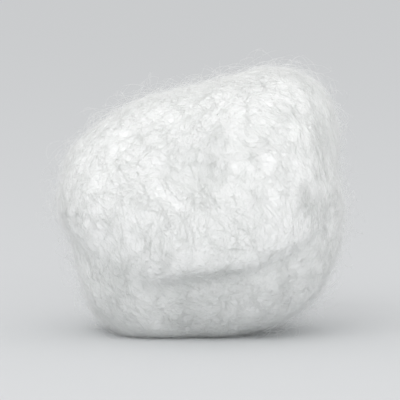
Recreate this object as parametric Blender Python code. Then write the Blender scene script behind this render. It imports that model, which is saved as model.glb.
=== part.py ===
"""A cotton ball: one short length of carded cotton web, rolled up on itself and tucked in at both ends.

The roll lies along X and rises towards +X. The front is -Y. The ball rests on a small flat spot that
its own softness gives it. Lengths are in metres, angles in radians. An angle round the roll is 0 at
the top, a quarter turn at the front and half a turn at the bottom.
"""

import math

import bmesh
import bpy
from mathutils import Matrix, Vector, noise

# Size of the rolled ball, measured along and across the roll
BALL_LENGTH = 0.0311
BALL_DEPTH = 0.0270
BALL_HEIGHT = 0.0277

# Its plump form: 1 is an ellipsoid, and less is blunter
END_BLUNTNESS = 0.71
SECTION_BLUNTNESS = 0.90

# How much fatter the +X half of the roll is than the -X half, as a share
TAPER = 0.05

# The roll rises towards +X, and its +X end leans by this slope so that it stands nearly upright
ROLL_TILT = math.radians(16)
END_LEAN = 0.28

# The free end of the web, which laps over the turn below it
WEB_THICKNESS = 0.0008
LAP_ANGLE = math.radians(112.5)
LAP_SLANT = math.radians(2)
LAP_BOW = math.radians(4)
LAP_WANDER = math.radians(1.8)
LAP_WANDERS = 2.3
LAP_RUN = 0.0022
LAP_GROOVE = 0.0003
LAP_LIP = 0.00015
LAP_END_GAP = 0.0024
LAP_FADE = 0.0072
LAP_SHIFT = 0.0016

# The ends, where the web is gathered in and tucked
TUCK_DEPTH = 0.0017
TUCK_RADIUS = 0.0036
GATHER_COUNT = 5
GATHER_DEPTH = 0.0006
GATHER_WIDTH = 0.64
GATHER_RADIUS = 0.0062
GATHER_SPREAD = 0.0034
GATHER_SWIRL = math.radians(48)

# Where the folds start and reach their full depth, as shares of the way from the middle to the end
GATHER_START = 0.3
GATHER_FULL = 0.8

# Soft unevenness of the wool
LUMP_HEIGHT = 0.0012
LUMP_SPACING = 0.0105
TUFT_HEIGHT = 0.0002
TUFT_SPACING = 0.0042

# Shallow creases pressed into the wool: place along the roll, angle round it, direction and length, with
# the place and the length as shares of the roll's own length
CREASES = (
    (-0.03, math.radians(66), math.radians(32), 0.33),
    (0.22, math.radians(52), math.radians(-38), 0.23),
    (0.15, math.radians(205), math.radians(25), 0.30),
    (-0.18, math.radians(250), math.radians(-30), 0.30),
    (0.07, math.radians(318), math.radians(40), 0.28),
)
CREASE_DEPTH = 0.0005
CREASE_WIDTH = 0.0021

# How far the ball is pressed flat where it rests, how softly that spot's rim rounds up, and the height
# under which wool counts as pressed fully flat
REST_PRESS = 0.0014
REST_RIM = 0.0004
REST_FLAT = 0.000005

# Mesh: columns round the roll and rows from end to end, and how much the columns close up at the lap
# and the rows at the ends and the middle
COLUMNS = 92
ROWS = 58
COLUMN_CROWDING = 0.50
ROW_CROWDING = 0.06

COTTON_COLOUR = (0.91, 0.92, 0.91, 1.0)
COTTON_ROUGHNESS = 1.0


def smooth_step(low, high, value):
    """0 below low and 1 above high, with a smooth run between them."""
    share = min(max((value - low) / (high - low), 0.0), 1.0)
    return share * share * (3.0 - 2.0 * share)


def hill(value, width):
    """A rounded hill of height 1 at 0, about width wide to each side."""
    return math.exp(-((value / width) ** 2))


def signed_power(value, exponent):
    """The value's size to a power, with its sign kept."""
    return math.copysign(abs(value) ** exponent, value)


def half_turn_range(angle):
    """The same angle, from minus half a turn to half a turn."""
    return (angle + math.pi) % (2.0 * math.pi) - math.pi


def section_radius(round_angle):
    """Radius of the roll's blunt section at an angle round it."""
    blunt = 2.0 / SECTION_BLUNTNESS
    up = abs(math.cos(round_angle)) / (BALL_HEIGHT / 2.0)
    front = abs(math.sin(round_angle)) / (BALL_DEPTH / 2.0)
    return (up**blunt + front**blunt) ** (-1.0 / blunt)


def end_share(along):
    """0 at the middle of the roll and 1 at its ends."""
    return 2.0 * abs(along) / BALL_LENGTH


def lap_line(along):
    """Angle round the roll of the web's free end, a line that slants a little, bows and wanders."""
    share = 2.0 * along / BALL_LENGTH
    wander = LAP_WANDER * noise.noise(Vector((LAP_WANDERS * share, 0.0, 0.0)))
    return LAP_ANGLE + LAP_SLANT * share - LAP_BOW * share**2 + wander


def lap_sink(past_lap, radius, along):
    """How far the rolled web lies in from the full size, an angle past its free end."""
    arc = past_lap * radius
    step = smooth_step(-LAP_RUN / 2.0, LAP_RUN / 2.0, arc) - 0.5
    lip = LAP_LIP * hill(arc + LAP_RUN, LAP_RUN)
    groove = LAP_GROOVE * hill(arc - LAP_RUN / 2.0, LAP_RUN / 2.0)
    from_end = BALL_LENGTH / 2.0 - abs(along - LAP_SHIFT)
    held = smooth_step(LAP_END_GAP, LAP_END_GAP + LAP_FADE, from_end)
    winding = WEB_THICKNESS * (step - past_lap / (2.0 * math.pi))
    return WEB_THICKNESS / 2.0 + held * (winding + groove - lip)


def rolled_point(direction):
    """The point of the rolled web that lies in this direction from the ball's middle."""
    polar = math.acos(max(-1.0, min(1.0, direction.x)))
    polar -= ROW_CROWDING * math.sin(4.0 * polar)
    along = BALL_LENGTH / 2.0 * signed_power(math.cos(polar), END_BLUNTNESS)
    girth = math.sin(polar) ** END_BLUNTNESS * (1.0 + TAPER * along / BALL_LENGTH)

    column = math.atan2(-direction.y, direction.z)
    past_lap = column - COLUMN_CROWDING * math.sin(column)
    round_angle = lap_line(along) + past_lap

    full = girth * section_radius(round_angle)
    radius = full - girth * lap_sink(past_lap, full, along)
    return Vector((along, -radius * math.sin(round_angle), radius * math.cos(round_angle)))


def gather_depth(along, off_axis, round_angle):
    """Depth of the folds that wind in towards the tuck at each end."""
    side = math.copysign(1.0, along)
    swirl = side * GATHER_SWIRL * off_axis / GATHER_RADIUS
    fold = hill(math.sin(0.5 * GATHER_COUNT * (round_angle + swirl) + side), GATHER_WIDTH)
    near_end = smooth_step(GATHER_START, GATHER_FULL, end_share(along))
    return GATHER_DEPTH * fold * hill(off_axis - GATHER_RADIUS, GATHER_SPREAD) * near_end


def crease_depth(along, off_axis, round_angle):
    """Depth of the deepest crease at this place."""
    deepest = 0.0
    for place, crease_angle, direction, length in CREASES:
        ahead = along - place * BALL_LENGTH
        across = half_turn_range(round_angle - crease_angle) * off_axis
        run = ahead * math.cos(direction) + across * math.sin(direction)
        off = across * math.cos(direction) - ahead * math.sin(direction)
        deepest = max(deepest, hill(off, CREASE_WIDTH) * hill(run, length * BALL_LENGTH / 2.0))
    return CREASE_DEPTH * deepest


def relief(point):
    """How far the wool stands out from the plain rolled form at this point."""
    off_axis = math.hypot(point.y, point.z)
    round_angle = math.atan2(-point.y, point.z)
    height = LUMP_HEIGHT * noise.noise(point / LUMP_SPACING)
    height += TUFT_HEIGHT * noise.noise(point / TUFT_SPACING)
    height -= TUCK_DEPTH * hill(off_axis, TUCK_RADIUS)
    height -= gather_depth(point.x, off_axis, round_angle)
    height -= crease_depth(point.x, off_axis, round_angle)
    return height


def rolled_web():
    """The rolled and tucked web as a mesh, with the roll level along X and its middle at the origin."""
    web = bmesh.new()
    ends_along_x = Matrix.Rotation(math.pi / 2.0, 4, "Y")
    bmesh.ops.create_uvsphere(web, u_segments=COLUMNS, v_segments=ROWS, radius=1.0, matrix=ends_along_x)
    for vert in web.verts:
        vert.co = rolled_point(vert.co)
    web.normal_update()
    reliefs = [relief(vert.co) for vert in web.verts]
    for vert, height in zip(web.verts, reliefs):
        vert.co += vert.normal * height
    return web


def pressed_height(height):
    """A height above the resting plane, with what lies below it pressed flat to 0."""
    rounded = max(height + REST_RIM, 0.0) ** 2 / (4.0 * REST_RIM)
    if rounded < REST_FLAT:
        return 0.0
    return rounded if height < REST_RIM else height


def middle(values):
    """Half way between the lowest and the highest value."""
    return (min(values) + max(values)) / 2.0


def lean_end(web):
    """Leans the roll over towards +X, by nothing at its middle and by its full slope at the end."""
    for vert in web.verts:
        share = max(2.0 * vert.co.x / BALL_LENGTH, 0.0)
        vert.co.x += END_LEAN * share * vert.co.z


def rest_on_flat_spot(web):
    """Tilts the roll, presses its lowest part flat at height 0 and centres the ball over the origin."""
    bmesh.ops.rotate(web, verts=web.verts, matrix=Matrix.Rotation(-ROLL_TILT, 3, "Y"))
    plane = min(vert.co.z for vert in web.verts) + REST_PRESS
    for vert in web.verts:
        vert.co.z = pressed_height(vert.co.z - plane)
    middle_x = middle([vert.co.x for vert in web.verts])
    middle_y = middle([vert.co.y for vert in web.verts])
    bmesh.ops.translate(web, verts=web.verts, vec=(-middle_x, -middle_y, 0.0))


def cotton_material():
    """White bleached cotton, fully rough."""
    material = bpy.data.materials.new("cotton_wool")
    material.use_nodes = True
    shader = material.node_tree.nodes["Principled BSDF"]
    shader.inputs["Base Color"].default_value = COTTON_COLOUR
    shader.inputs["Roughness"].default_value = COTTON_ROUGHNESS
    shader.inputs["Metallic"].default_value = 0.0
    return material


def build_ball():
    """The ball as one object, standing on height 0."""
    web = rolled_web()
    lean_end(web)
    rest_on_flat_spot(web)
    mesh = bpy.data.meshes.new("cotton_ball")
    web.to_mesh(mesh)
    web.free()
    mesh.shade_smooth()
    mesh.materials.append(cotton_material())
    ball = bpy.data.objects.new("cotton_ball", mesh)
    bpy.context.scene.collection.objects.link(ball)


def main():
    for old in list(bpy.data.objects):
        bpy.data.objects.remove(old)
    build_ball()


main()
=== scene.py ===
"""Looks of the cotton ball: a soft body of matted wool, and the fine fibres that lie on it and stand off it.

Lengths are in metres, in the frame's own axes: the front is -Y and +Z is up. The roll of wool lies along X
and rises towards +X.
"""

import math

import bpy
import numpy as np
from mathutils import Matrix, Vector, noise
from mathutils.bvhtree import BVHTree


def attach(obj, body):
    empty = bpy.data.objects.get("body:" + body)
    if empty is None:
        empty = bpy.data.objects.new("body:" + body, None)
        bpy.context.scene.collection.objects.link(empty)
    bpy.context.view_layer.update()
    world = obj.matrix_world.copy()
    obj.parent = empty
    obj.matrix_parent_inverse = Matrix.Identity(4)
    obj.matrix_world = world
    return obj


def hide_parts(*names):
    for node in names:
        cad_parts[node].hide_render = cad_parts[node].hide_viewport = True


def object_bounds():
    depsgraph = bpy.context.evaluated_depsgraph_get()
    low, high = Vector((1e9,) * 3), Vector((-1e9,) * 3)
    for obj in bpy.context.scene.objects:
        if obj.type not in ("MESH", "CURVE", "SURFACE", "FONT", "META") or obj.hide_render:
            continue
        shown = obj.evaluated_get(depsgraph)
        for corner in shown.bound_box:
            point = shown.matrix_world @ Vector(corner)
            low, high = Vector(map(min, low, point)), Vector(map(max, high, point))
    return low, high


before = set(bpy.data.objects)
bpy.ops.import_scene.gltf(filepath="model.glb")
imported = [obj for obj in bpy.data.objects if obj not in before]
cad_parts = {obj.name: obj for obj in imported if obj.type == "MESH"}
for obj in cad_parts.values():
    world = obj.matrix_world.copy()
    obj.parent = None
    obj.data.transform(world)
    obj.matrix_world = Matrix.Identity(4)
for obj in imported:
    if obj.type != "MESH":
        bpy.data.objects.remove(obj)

# The box of the solids, whose middle the roll's axis runs through and the lamps and camera aim at
SOLIDS_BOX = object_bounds()

NODE = "cotton_ball"
BODY = "root"
MM = 0.001

# The least length that a vector is divided by
TINY = 1e-12

# The roll, as the frame has it
BALL_MIDDLE = (SOLIDS_BOX[0] + SOLIDS_BOX[1]) / 2.0
ROLL_CENTRE = np.array(BALL_MIDDLE)
ROLL_RISE = math.radians(16)
ROLL_AXIS = np.array([math.cos(ROLL_RISE), 0.0, math.sin(ROLL_RISE)])
ROLL_RADIUS = 13.0 * MM

# The body: how fine its mesh is, how often that mesh is softened and by what share each time
BODY_VOXEL = 0.24 * MM
SOFTENING_ROUNDS = 10
SOFTENING_SHARE = 0.5

# Relief of the matted wool: height and spacing of its clumps, of the streaks that follow the web's
# winding, and of the grain. The clumps come from another place in the pattern than the grain does.
CLUMPS = ((0.08 * MM, 4.2 * MM), (0.02 * MM, 1.9 * MM))
CLUMP_SHIFT = 7.3
STREAK_HEIGHT = 0.008 * MM
STREAK_WIDTH = 0.38 * MM
STREAK_LENGTH = 4.5 * MM
STREAK_BEND = 0.9 * MM
STREAK_BEND_SPACING = 4.0 * MM
GRAIN_HEIGHT = 0.006 * MM
GRAIN_SPACING = 0.5 * MM

# The streaks come a second time, this many times finer, lower, and from another place in the pattern
FINE_STREAKS = 2.1
FINE_STREAK_HEIGHT = 0.5 * STREAK_HEIGHT
FINE_STREAK_SHIFT = 3.7

# Fibres drift off the winding direction from place to place by up to about this much
DRIFT = math.radians(45)
DRIFT_SPACING = 6.0 * MM

# At the roll's ends they turn in towards the tuck: how far, and the distances from the roll's axis
# between which the turn fades
END_TURN = math.radians(65)
END_TURN_FULL = 2.0 * MM
END_TURN_LIMIT = 10.0 * MM

# Nearer to the axis than this, they cross the middle of the tuck more and more straight
TUCK_CROSSING = 4.0 * MM

# Loose fibres, from the matted layer outwards. Each kind has its number, its points along, its length
# and width, how far its heading strays, how much it curls and waves, how high it arches, the share with
# a free end, how far its ends lie in the wool and its seed.
FIBRE_KINDS = {
    "matted_fibres": {
        "number": 5400, "points": 7, "length": 6.5 * MM, "width": 0.030 * MM, "stray": math.radians(32),
        "curl": math.radians(20), "wave": 0.10 * MM, "arch": 0.05 * MM, "free": 0.0, "sink": 0.03 * MM,
        "seed": 11,
    },
    "crossing_fibres": {
        "number": 6200, "points": 7, "length": 5.0 * MM, "width": 0.026 * MM, "stray": math.radians(75),
        "curl": math.radians(35), "wave": 0.16 * MM, "arch": 0.09 * MM, "free": 0.1, "sink": 0.03 * MM,
        "seed": 12,
    },
    "nap_fibres": {
        "number": 5400, "points": 8, "length": 4.0 * MM, "width": 0.026 * MM, "stray": math.radians(90),
        "curl": math.radians(55), "wave": 0.22 * MM, "arch": 0.30 * MM, "free": 0.35, "sink": 0.04 * MM,
        "seed": 13,
    },
    "stray_fibres": {
        "number": 3600, "points": 9, "length": 4.4 * MM, "width": 0.021 * MM, "stray": math.radians(120),
        "curl": math.radians(80), "wave": 0.30 * MM, "arch": 0.70 * MM, "free": 0.5, "sink": 0.04 * MM,
        "seed": 14,
    },
    "down_fibres": {
        "number": 7400, "points": 5, "length": 2.2 * MM, "width": 0.018 * MM, "stray": math.radians(120),
        "curl": math.radians(60), "wave": 0.12 * MM, "arch": 0.40 * MM, "free": 1.0, "sink": 0.04 * MM,
        "seed": 15,
    },
}
HIGHEST_ARCH = 2.6 * MM

# From least to most: each fibre's length, as a share of its kind's length, and how often it curls and
# waves along its length
LENGTH_SHARES = (0.55, 1.45)
CURL_TURNS = (0.4, 1.1)
WAVE_TURNS = (0.6, 1.6)

# Powers of the sine by which a fibre rises to its free end, rises and falls in an arch, and tapers to
# its points
FREE_RISE = 1.5
ARCH_RISE = 0.8
TAPER = 0.4

# A fibre is a tube with this many sides
FIBRE_SIDES = 3

# How much of the way a fibre rises out of a hollow towards the straight line over it, and how often
BRIDGING = 0.5
BRIDGING_ROUNDS = 3

# No fibre's middle line comes nearer to the floor than this
FLOOR_GAP = 0.03 * MM

# Share of its cell on the bake map that a fibre takes up
CELL_FILL = 0.8

# Colours
WHITE = (1.0, 1.0, 1.0, 1.0)
WOOL_LIGHT = (0.95, 0.958, 0.951, 1.0)
WOOL_SHADE = (0.92, 0.931, 0.922, 1.0)
FLOOR_COLOUR = (0.62, 0.63, 0.64, 1.0)

# Between which two values of its pattern the wool's colour drifts, and how detailed that pattern is
COLOUR_DRIFT_LOW = 0.35
COLOUR_DRIFT_HIGH = 0.65
COLOUR_DRIFT_DETAIL = 3.0

# How strongly the grain tilts the surface, and how detailed the grain is
GRAIN_BUMP = 0.2
GRAIN_DETAIL = 4.0

# The wool of the body and of the loose fibres: spacing of its drift in colour, spacing and depth of its
# grain, its least roughness, and how far light soaks in. The rest is the same for both, apart from the
# sheen, which is the loose fibres' alone.
BODY_WOOL = {
    "colour_drift": 2.5 * MM, "grain": 0.35 * MM, "grain_depth": 0.06 * MM, "least_roughness": 0.9,
    "light_reach": 2.5 * MM,
}
LOOSE_WOOL = {
    "colour_drift": 1.2 * MM, "grain": 0.12 * MM, "grain_depth": 0.004 * MM, "least_roughness": 0.8,
    "light_reach": 1.2 * MM,
}
MOST_ROUGHNESS = 1.0
WOOL_SHINE = 0.1
SHEEN = 0.15
SHEEN_ROUGHNESS = 0.6

# How often light may pass from fibre to fibre, which is what makes loose cotton white
FIBRE_BOUNCES = 12

# Light and camera. The sensor's width alone is in millimetres.
SKY_STRENGTH = 0.95
KEY_PLACE = Vector((-0.20, -0.40, 0.36))
KEY_SIZE = 0.45
KEY_POWER = 0.72
FILL_PLACE = Vector((0.16, -0.52, 0.05))
FILL_SIZE = 0.60
FILL_POWER = 1.15
CAMERA_ELEVATION = math.radians(5)
CAMERA_DISTANCE = 0.34
SENSOR_WIDTH = 36.0
VIEW_WIDTH = 43.0 * MM
FLOOR_SIZE = 6.0


def unit(vectors):
    """The vectors at length 1."""
    return vectors / np.maximum(np.linalg.norm(vectors, axis=-1, keepdims=True), TINY)


def smooth_step(low, high, values):
    """0 below low and 1 above high, with a smooth run between them."""
    share = np.clip((values - low) / (high - low), 0.0, 1.0)
    return share * share * (3.0 - 2.0 * share)


def noise_at(places):
    """Smooth noise, about -1 to 1, at each of these places."""
    return np.array([noise.noise(place) for place in places.tolist()])


def mesh_points(mesh):
    """A mesh's vertices as rows of coordinates."""
    points = np.empty(len(mesh.vertices) * 3, np.float32)
    mesh.vertices.foreach_get("co", points)
    return points.reshape(-1, 3).astype(float)


def vertex_normals(mesh):
    """A mesh's vertex normals as rows."""
    normals = np.empty(len(mesh.vertices) * 3, np.float32)
    mesh.vertex_normals.foreach_get("vector", normals)
    return normals.reshape(-1, 3).astype(float)


def even_mesh(solid):
    """The solid's form as a fine, even mesh with its facets softened away."""
    copy = bpy.data.objects.new("even", solid.data.copy())
    bpy.context.scene.collection.objects.link(copy)
    remesh = copy.modifiers.new("even", "REMESH")
    remesh.mode = "VOXEL"
    remesh.voxel_size = BODY_VOXEL
    soften = copy.modifiers.new("soften", "SMOOTH")
    soften.factor = SOFTENING_SHARE
    soften.iterations = SOFTENING_ROUNDS
    depsgraph = bpy.context.evaluated_depsgraph_get()
    mesh = bpy.data.meshes.new_from_object(copy.evaluated_get(depsgraph))
    bpy.data.objects.remove(copy)
    return mesh


def roll_places(points):
    """Each point's place along the roll, and its way out from the roll's axis."""
    from_centre = points - ROLL_CENTRE
    along = from_centre @ ROLL_AXIS
    return along, from_centre - along[:, None] * ROLL_AXIS


def streak_places(points):
    """Where the points lie in the streaks' pattern, whose first axis runs across the winding."""
    along, out = roll_places(points)
    ring = ROLL_RADIUS * np.arctan2(np.linalg.norm(out, axis=1), along)
    ring += STREAK_BEND * noise_at(points / STREAK_BEND_SPACING)
    turn = np.arctan2(-out[:, 1], out[:, 2])
    reach = ROLL_RADIUS / STREAK_LENGTH
    return np.stack([ring / STREAK_WIDTH, reach * np.cos(turn), reach * np.sin(turn)], axis=1)


def relief(points):
    """How far the matted wool stands out from the smooth form at each point."""
    height = np.zeros(len(points))
    for clump_height, spacing in CLUMPS:
        height += clump_height * noise_at(points / spacing + CLUMP_SHIFT)
    streaks = streak_places(points)
    height += STREAK_HEIGHT * noise_at(streaks)
    height += FINE_STREAK_HEIGHT * noise_at(FINE_STREAKS * streaks + FINE_STREAK_SHIFT)
    height += GRAIN_HEIGHT * noise_at(points / GRAIN_SPACING)
    return height


class Form:
    """The body's smooth form, with the relief on each of its faces."""

    def __init__(self, mesh, normals, heights):
        points = mesh_points(mesh)
        corners = np.array([face.vertices[:] for face in mesh.polygons])
        self.tree = BVHTree.FromPolygons(points.tolist(), corners.tolist())
        self.places = points[corners].mean(axis=1)
        self.normals = unit(normals[corners].mean(axis=1))
        self.heights = heights[corners].mean(axis=1)
        diagonals = points[corners[:, 2]] - points[corners[:, 0]]
        others = points[corners[:, 3]] - points[corners[:, 1]]
        areas = np.linalg.norm(np.cross(diagonals, others), axis=1)
        self.chance = areas / areas.sum()

    def scattered(self, number, chooser):
        """Places spread evenly over the form."""
        return self.places[chooser.choice(len(self.places), number, p=self.chance)]

    def nearest(self, points):
        """The nearest places on the form, their normals and the relief there."""
        hits = [self.tree.find_nearest(point) for point in points.tolist()]
        faces = np.array([hit[2] for hit in hits])
        return np.array([hit[0] for hit in hits]), self.normals[faces], self.heights[faces]


def body_and_form():
    """The ball's body of matted wool, and its smooth form for the fibres to follow."""
    mesh = even_mesh(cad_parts[NODE])
    points = mesh_points(mesh)
    normals = vertex_normals(mesh)
    heights = relief(points)
    form = Form(mesh, normals, heights)
    points += normals * heights[:, None]
    points[:, 2] = np.maximum(points[:, 2], 0.0)
    mesh.vertices.foreach_set("co", points.astype(np.float32).ravel())
    mesh.shade_smooth()
    mesh.update()
    body = bpy.data.objects.new("wool_body", mesh)
    bpy.context.scene.collection.objects.link(body)
    mesh.materials.clear()
    return body, form


def headings(points, normals, angles):
    """Directions along the surface, each turned by an angle from the way that the wool winds there."""
    along, out = roll_places(points)
    forward = np.cross(ROLL_AXIS, out)
    forward = unit(forward - np.sum(forward * normals, axis=1, keepdims=True) * normals)
    sideways = np.cross(normals, forward)
    near_tuck = 1.0 - smooth_step(END_TURN_FULL, END_TURN_LIMIT, np.linalg.norm(out, axis=1))
    turned = angles + END_TURN * near_tuck * np.sign(along)
    return np.cos(turned)[:, None] * forward + np.sin(turned)[:, None] * sideways


def steered(last, points, normals, angles):
    """Each fibre's next direction: along the winding, but straight on over the middle of a tuck."""
    winding = headings(points, normals, angles)
    straight = unit(last - np.sum(last * normals, axis=1, keepdims=True) * normals)
    follow = smooth_step(0.0, TUCK_CROSSING, np.linalg.norm(roll_places(points)[1], axis=1))[:, None]
    return unit(follow * winding + (1.0 - follow) * straight)


def bridge_hollows(paths, ups):
    """Draws the fibres tight, so that they span the hollows under them."""
    for _ in range(BRIDGING_ROUNDS):
        chords = (paths[:, :-2] + paths[:, 2:]) / 2.0 - paths[:, 1:-1]
        rises = np.sum(chords * ups[:, 1:-1], axis=2, keepdims=True)
        paths[:, 1:-1] += BRIDGING * np.maximum(rises, 0.0) * ups[:, 1:-1]


def fibre_paths(form, kind):
    """Each fibre's points, and the surface's normals there."""
    chooser = np.random.default_rng(kind["seed"])
    number = kind["number"]
    steps = kind["points"] - 1
    lengths = kind["length"] * chooser.uniform(*LENGTH_SHARES, number)
    strayed = kind["stray"] * chooser.normal(0.0, 1.0, number)
    flipped = np.pi * chooser.integers(0, 2, number)
    curl = kind["curl"] * chooser.normal(0.0, 1.0, number)
    curl_phase = chooser.uniform(0.0, 2.0 * np.pi, number)
    curl_turns = chooser.uniform(*CURL_TURNS, number)
    arch = np.minimum(kind["arch"] * chooser.exponential(1.0, number), HIGHEST_ARCH)
    free = chooser.random(number) < kind["free"]
    wave = kind["wave"] * chooser.normal(0.0, 1.0, number)
    wave_phase = chooser.uniform(0.0, 2.0 * np.pi, number)
    wave_turns = chooser.uniform(*WAVE_TURNS, number)

    walker = form.scattered(number, chooser)
    paths = np.empty((number, kind["points"], 3))
    ups = np.empty_like(paths)
    for step in range(kind["points"]):
        share = step / steps
        places, normals, heights = form.nearest(walker)
        drift = DRIFT * noise_at(places / DRIFT_SPACING)
        angles = strayed + flipped + drift + curl * np.sin(2.0 * np.pi * curl_turns * share + curl_phase)
        ahead = steered(ahead, places, normals, angles) if step else headings(places, normals, angles)
        aside = np.cross(normals, ahead)
        to_free_end = math.sin(0.5 * math.pi * share) ** FREE_RISE
        in_arch = math.sin(math.pi * share) ** ARCH_RISE
        rise = np.where(free, to_free_end, in_arch)
        lift = arch * rise - kind["sink"] * (1.0 - rise)
        swing = wave * np.sin(2.0 * np.pi * wave_turns * share + wave_phase)
        paths[:, step] = places + normals * (heights + lift)[:, None] + aside * swing[:, None]
        ups[:, step] = normals
        walker = places + ahead * (lengths / steps)[:, None]
    bridge_hollows(paths, ups)
    paths[:, :, 2] = np.maximum(paths[:, :, 2], FLOOR_GAP)
    return paths, ups


def fibre_faces(number, points):
    """Faces of the tubes, which end in points, as triangles and quads of vertex numbers."""
    rings = points - 2
    last = FIBRE_SIDES * rings + 1
    triangles = []
    quads = []
    for side in range(FIBRE_SIDES):
        here = 1 + side
        beside = 1 + (side + 1) % FIBRE_SIDES
        triangles.append((0, here, beside))
        for ring in range(rings - 1):
            low = FIBRE_SIDES * ring
            high = low + FIBRE_SIDES
            quads.append((low + here, high + here, high + beside, low + beside))
        top = FIBRE_SIDES * (rings - 1)
        triangles.append((top + here, last, top + beside))
    first = (np.arange(number) * (last + 1))[:, None, None]
    return (
        (first + np.array(triangles)).reshape(-1, 3).tolist()
        + (first + np.array(quads)).reshape(-1, 4).tolist()
    )


def fibre_bake_places(number, points):
    """Each face corner's place on the bake map, where every fibre has its own cell."""
    rings = points - 2
    triangles = []
    quads = []
    for side in range(FIBRE_SIDES):
        triangles.append(((0.0, side + 0.5), (1.0, side), (1.0, side + 1.0)))
        for ring in range(1, rings):
            quads.append(((ring, side), (ring + 1.0, side), (ring + 1.0, side + 1.0), (ring, side + 1.0)))
        triangles.append(((rings, side), (rings + 1.0, side + 0.5), (rings, side + 1.0)))
    across = math.ceil(math.sqrt(number))
    cells = np.arange(number)
    corners = np.stack([cells % across, cells // across], axis=1)[:, None, None]
    whole = np.array([rings + 1.0, FIBRE_SIDES])
    places = []
    for faces in (triangles, quads):
        inside = 0.5 + CELL_FILL * (np.array(faces) / whole - 0.5)
        places.append(((corners + inside) / across).reshape(-1, 2))
    return np.concatenate(places)


def fibre_piece(name, form, kind):
    """One kind of fibre as a mesh of thin closed tubes that taper to points."""
    paths, ups = fibre_paths(form, kind)
    number, points = paths.shape[:2]
    tangents = unit(np.gradient(paths, axis=1))
    sides = unit(np.cross(tangents, ups))
    overs = np.cross(sides, tangents)
    shares = np.linspace(0.0, 1.0, points)[1:-1]
    radii = 0.5 * kind["width"] * np.sin(np.pi * shares) ** TAPER
    rings = []
    for side in range(FIBRE_SIDES):
        angle = math.pi * (0.5 + 2.0 * side / FIBRE_SIDES)
        around = math.cos(angle) * sides + math.sin(angle) * overs
        rings.append(paths[:, 1:-1] + around[:, 1:-1] * radii[None, :, None])
    rings = np.stack(rings, axis=2).reshape(number, -1, 3)
    vertices = np.concatenate([paths[:, :1], rings, paths[:, -1:]], axis=1)
    mesh = bpy.data.meshes.new(name)
    mesh.from_pydata(vertices.reshape(-1, 3).tolist(), [], fibre_faces(number, points))
    bake_map = mesh.uv_layers.new(name="OFBake")
    bake_map.data.foreach_set("uv", fibre_bake_places(number, points).astype(np.float32).ravel())
    mesh.shade_smooth()
    piece = bpy.data.objects.new(name, mesh)
    bpy.context.scene.collection.objects.link(piece)
    return piece


def new_material(name):
    """A material with its Principled shader, ready to set."""
    material = bpy.data.materials.new(name)
    material.use_nodes = True
    return material, material.node_tree.nodes["Principled BSDF"]


def noise_pattern(material, spacing, detail):
    """A smooth noise pattern, fixed to the ball."""
    nodes = material.node_tree.nodes
    place = nodes.new("ShaderNodeTexCoord")
    pattern = nodes.new("ShaderNodeTexNoise")
    pattern.inputs["Scale"].default_value = 1.0 / spacing
    pattern.inputs["Detail"].default_value = detail
    material.node_tree.links.new(place.outputs["Object"], pattern.inputs["Vector"])
    return pattern.outputs["Fac"]


def drifting_colour(material, shader, spacing):
    """Lets the colour drift a little between the wool's shade and its light."""
    links = material.node_tree.links
    ramp = material.node_tree.nodes.new("ShaderNodeValToRGB")
    ramp.color_ramp.elements[0].position = COLOUR_DRIFT_LOW
    ramp.color_ramp.elements[0].color = WOOL_SHADE
    ramp.color_ramp.elements[1].position = COLOUR_DRIFT_HIGH
    ramp.color_ramp.elements[1].color = WOOL_LIGHT
    links.new(noise_pattern(material, spacing, COLOUR_DRIFT_DETAIL), ramp.inputs["Fac"])
    links.new(ramp.outputs["Color"], shader.inputs["Base Color"])


def grained_surface(material, shader, spacing, depth, least_roughness):
    """A fine grain in the surface, with a roughness that drifts along with it."""
    nodes = material.node_tree.nodes
    links = material.node_tree.links
    grain = noise_pattern(material, spacing, GRAIN_DETAIL)
    bump = nodes.new("ShaderNodeBump")
    bump.inputs["Strength"].default_value = GRAIN_BUMP
    bump.inputs["Distance"].default_value = depth
    roughness = nodes.new("ShaderNodeMapRange")
    roughness.inputs["To Min"].default_value = least_roughness
    roughness.inputs["To Max"].default_value = MOST_ROUGHNESS
    links.new(grain, bump.inputs["Height"])
    links.new(bump.outputs["Normal"], shader.inputs["Normal"])
    links.new(grain, roughness.inputs["Value"])
    links.new(roughness.outputs["Result"], shader.inputs["Roughness"])


def soaked_light(shader, reach):
    """Lets light soak in and spread by about this much, the same for each colour."""
    shader.inputs["Subsurface Weight"].default_value = 1.0
    shader.inputs["Subsurface Radius"].default_value = (1.0, 1.0, 1.0)
    shader.inputs["Subsurface Scale"].default_value = reach


def wool_material(name, wool):
    """A white, matt material of one kind of wool, and its shader."""
    material, shader = new_material(name)
    drifting_colour(material, shader, wool["colour_drift"])
    grained_surface(material, shader, wool["grain"], wool["grain_depth"], wool["least_roughness"])
    soaked_light(shader, wool["light_reach"])
    shader.inputs["Specular IOR Level"].default_value = WOOL_SHINE
    return material, shader


def body_material():
    """Matted cotton wool, with a fine fibrous grain."""
    return wool_material("matted_wool", BODY_WOOL)[0]


def fibre_material():
    """Single cotton fibres, with a slightly uneven skin and a soft sheen."""
    material, shader = wool_material("loose_wool", LOOSE_WOOL)
    shader.inputs["Sheen Weight"].default_value = SHEEN
    shader.inputs["Sheen Roughness"].default_value = SHEEN_ROUGHNESS
    return material


def dress(piece, material):
    """Gives a piece its material and fixes it to the ball."""
    piece.data.materials.append(material)
    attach(piece, BODY)


def build_ball():
    """The ball's body and all its loose fibres."""
    body, form = body_and_form()
    dress(body, body_material())
    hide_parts(NODE)
    loose = fibre_material()
    for name, kind in FIBRE_KINDS.items():
        dress(fibre_piece(name, form, kind), loose)


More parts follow.
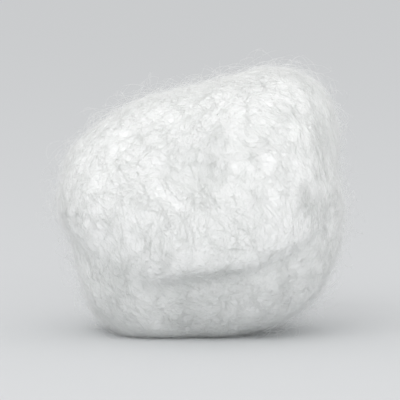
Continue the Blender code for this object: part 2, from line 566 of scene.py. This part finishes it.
def build_floor():
    """A plain pale floor that runs out of sight."""
    half = FLOOR_SIZE / 2.0
    mesh = bpy.data.meshes.new("floor")
    corners = [(-half, -half, 0.0), (half, -half, 0.0), (half, half, 0.0), (-half, half, 0.0)]
    mesh.from_pydata(corners, [], [(0, 1, 2, 3)])
    floor = bpy.data.objects.new("floor", mesh)
    bpy.context.scene.collection.objects.link(floor)
    material, shader = new_material("floor")
    shader.inputs["Base Color"].default_value = FLOOR_COLOUR
    shader.inputs["Roughness"].default_value = MOST_ROUGHNESS
    shader.inputs["Specular IOR Level"].default_value = 0.0
    mesh.materials.append(material)


def build_sky():
    """Even white light from all round, behind a plain pale backdrop that only the camera sees."""
    world = bpy.data.worlds.new("studio")
    bpy.context.scene.world = world
    world.use_nodes = True
    nodes = world.node_tree.nodes
    links = world.node_tree.links
    light = nodes["Background"]
    light.inputs["Color"].default_value = WHITE
    light.inputs["Strength"].default_value = SKY_STRENGTH
    backdrop = nodes.new("ShaderNodeBackground")
    backdrop.inputs["Color"].default_value = FLOOR_COLOUR
    backdrop.inputs["Strength"].default_value = SKY_STRENGTH
    path = nodes.new("ShaderNodeLightPath")
    choice = nodes.new("ShaderNodeMixShader")
    links.new(path.outputs["Is Camera Ray"], choice.inputs["Fac"])
    links.new(light.outputs["Background"], choice.inputs[1])
    links.new(backdrop.outputs["Background"], choice.inputs[2])
    links.new(choice.outputs["Shader"], nodes["World Output"].inputs["Surface"])


def aimed(piece, place, target):
    """Puts a lamp or camera at a place, looking at a target."""
    piece.location = place
    piece.rotation_euler = (target - place).to_track_quat("-Z", "Y").to_euler()
    bpy.context.scene.collection.objects.link(piece)


def build_lamp(name, place, size, power, target):
    """One large soft round lamp."""
    lamp = bpy.data.lights.new(name, "AREA")
    lamp.shape = "DISK"
    lamp.size = size
    lamp.energy = power
    aimed(bpy.data.objects.new(name, lamp), place, target)


def build_camera(target):
    """A long lens at the front, a little above the floor."""
    camera = bpy.data.cameras.new("camera")
    camera.sensor_width = SENSOR_WIDTH
    camera.lens = camera.sensor_width * CAMERA_DISTANCE / VIEW_WIDTH
    back = Vector((0.0, -math.cos(CAMERA_ELEVATION), math.sin(CAMERA_ELEVATION)))
    holder = bpy.data.objects.new("camera", camera)
    aimed(holder, target + CAMERA_DISTANCE * back, target)
    bpy.context.scene.camera = holder


bpy.context.scene.view_settings.view_transform = "Standard"
bpy.context.scene.cycles.diffuse_bounces = FIBRE_BOUNCES
build_ball()
build_floor()
build_sky()
build_lamp("key", KEY_PLACE, KEY_SIZE, KEY_POWER, BALL_MIDDLE)
build_lamp("fill", FILL_PLACE, FILL_SIZE, FILL_POWER, BALL_MIDDLE)
build_camera(BALL_MIDDLE)
